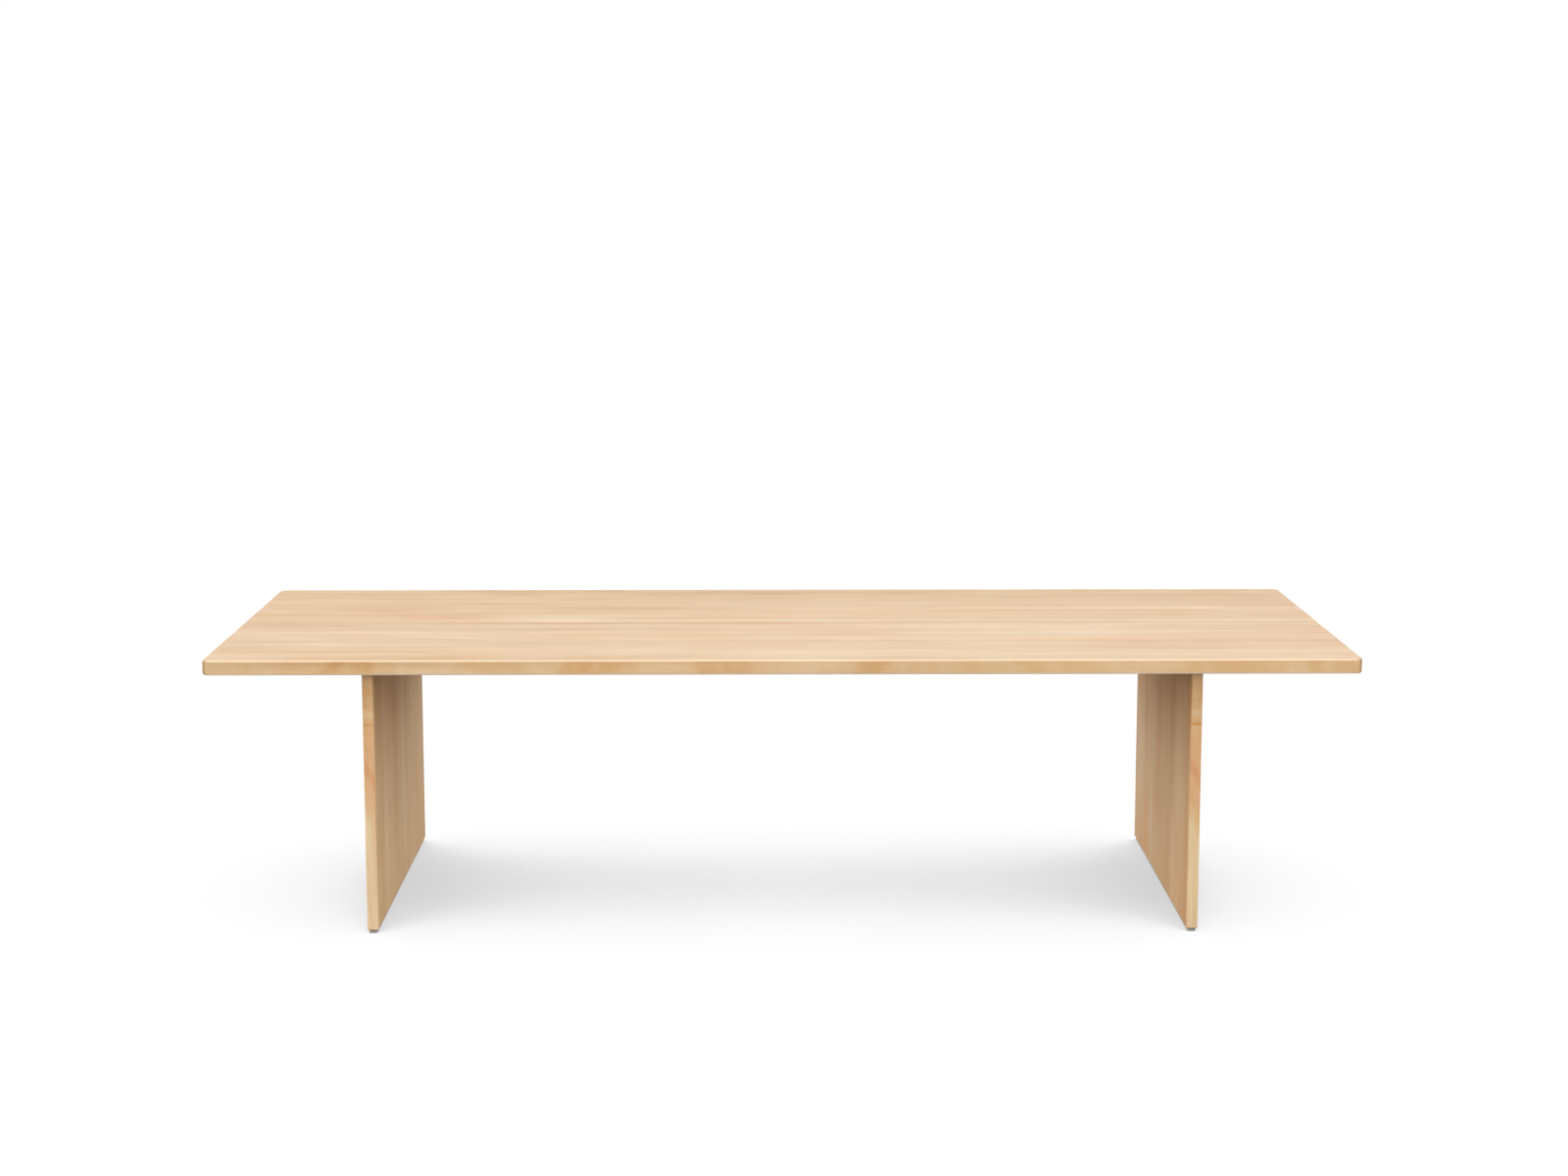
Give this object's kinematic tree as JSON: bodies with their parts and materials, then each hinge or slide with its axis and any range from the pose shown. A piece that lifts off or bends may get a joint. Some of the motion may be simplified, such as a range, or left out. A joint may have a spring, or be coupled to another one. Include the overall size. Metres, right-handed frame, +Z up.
{
  "type": "communion table",
  "caption": "Long pale solid wood table: thin rectangular top on slab legs set in from the ends, each on a narrow dark floor strip.",
  "frame": {"origin": "on the floor, under the middle of the top", "axes": "+X along the length, towards the right-hand end; +Y from front to back; +Z up"},
  "size_m": [3, 1.2, 0.75],
  "materials": {
    "top_wood": "clear matt lacquer, grain along the length",
    "leg_wood": "clear matt lacquer, upright grain",
    "black_steel": "matt black powder coat",
    "zinc_screws": "bright zinc plate",
    "brass_inserts": "plain",
    "floor_strip": "dark grey, matt"
  },
  "bodies": {
    "root": {"top_board_1": "top_wood", "top_board_2": "top_wood", "top_board_3": "top_wood", "top_board_4": "top_wood", "top_board_5": "top_wood", "top_board_6": "top_wood", "top_board_7": "top_wood", "top_board_8": "top_wood", "left_leg_board_1": "leg_wood", "left_leg_board_2": "leg_wood", "left_leg_board_3": "leg_wood", "left_leg_board_4": "leg_wood", "left_leg_board_5": "leg_wood", "left_leg_board_6": "leg_wood", "left_leg_board_7": "leg_wood", "right_leg_board_1": "leg_wood", "right_leg_board_2": "leg_wood", "right_leg_board_3": "leg_wood", "right_leg_board_4": "leg_wood", "right_leg_board_5": "leg_wood", "right_leg_board_6": "leg_wood", "right_leg_board_7": "leg_wood", "left_leg_plate": "black_steel", "right_leg_plate": "black_steel", "left_leg_inserts": "brass_inserts", "right_leg_inserts": "brass_inserts", "left_leg_screws": "zinc_screws", "right_leg_screws": "zinc_screws", "left_top_inserts": "brass_inserts", "right_top_inserts": "brass_inserts", "left_plate_screws": "zinc_screws", "right_plate_screws": "zinc_screws", "left_plate_washers": "zinc_screws", "right_plate_washers": "zinc_screws", "left_stiffener": "black_steel", "right_stiffener": "black_steel", "left_stiffener_inserts": "brass_inserts", "right_stiffener_inserts": "brass_inserts", "left_stiffener_screws": "zinc_screws", "right_stiffener_screws": "zinc_screws", "left_floor_strip": "floor_strip", "right_floor_strip": "floor_strip", "left_floor_strip_screws": "zinc_screws", "right_floor_strip_screws": "zinc_screws"}
  },
  "joints": []
}
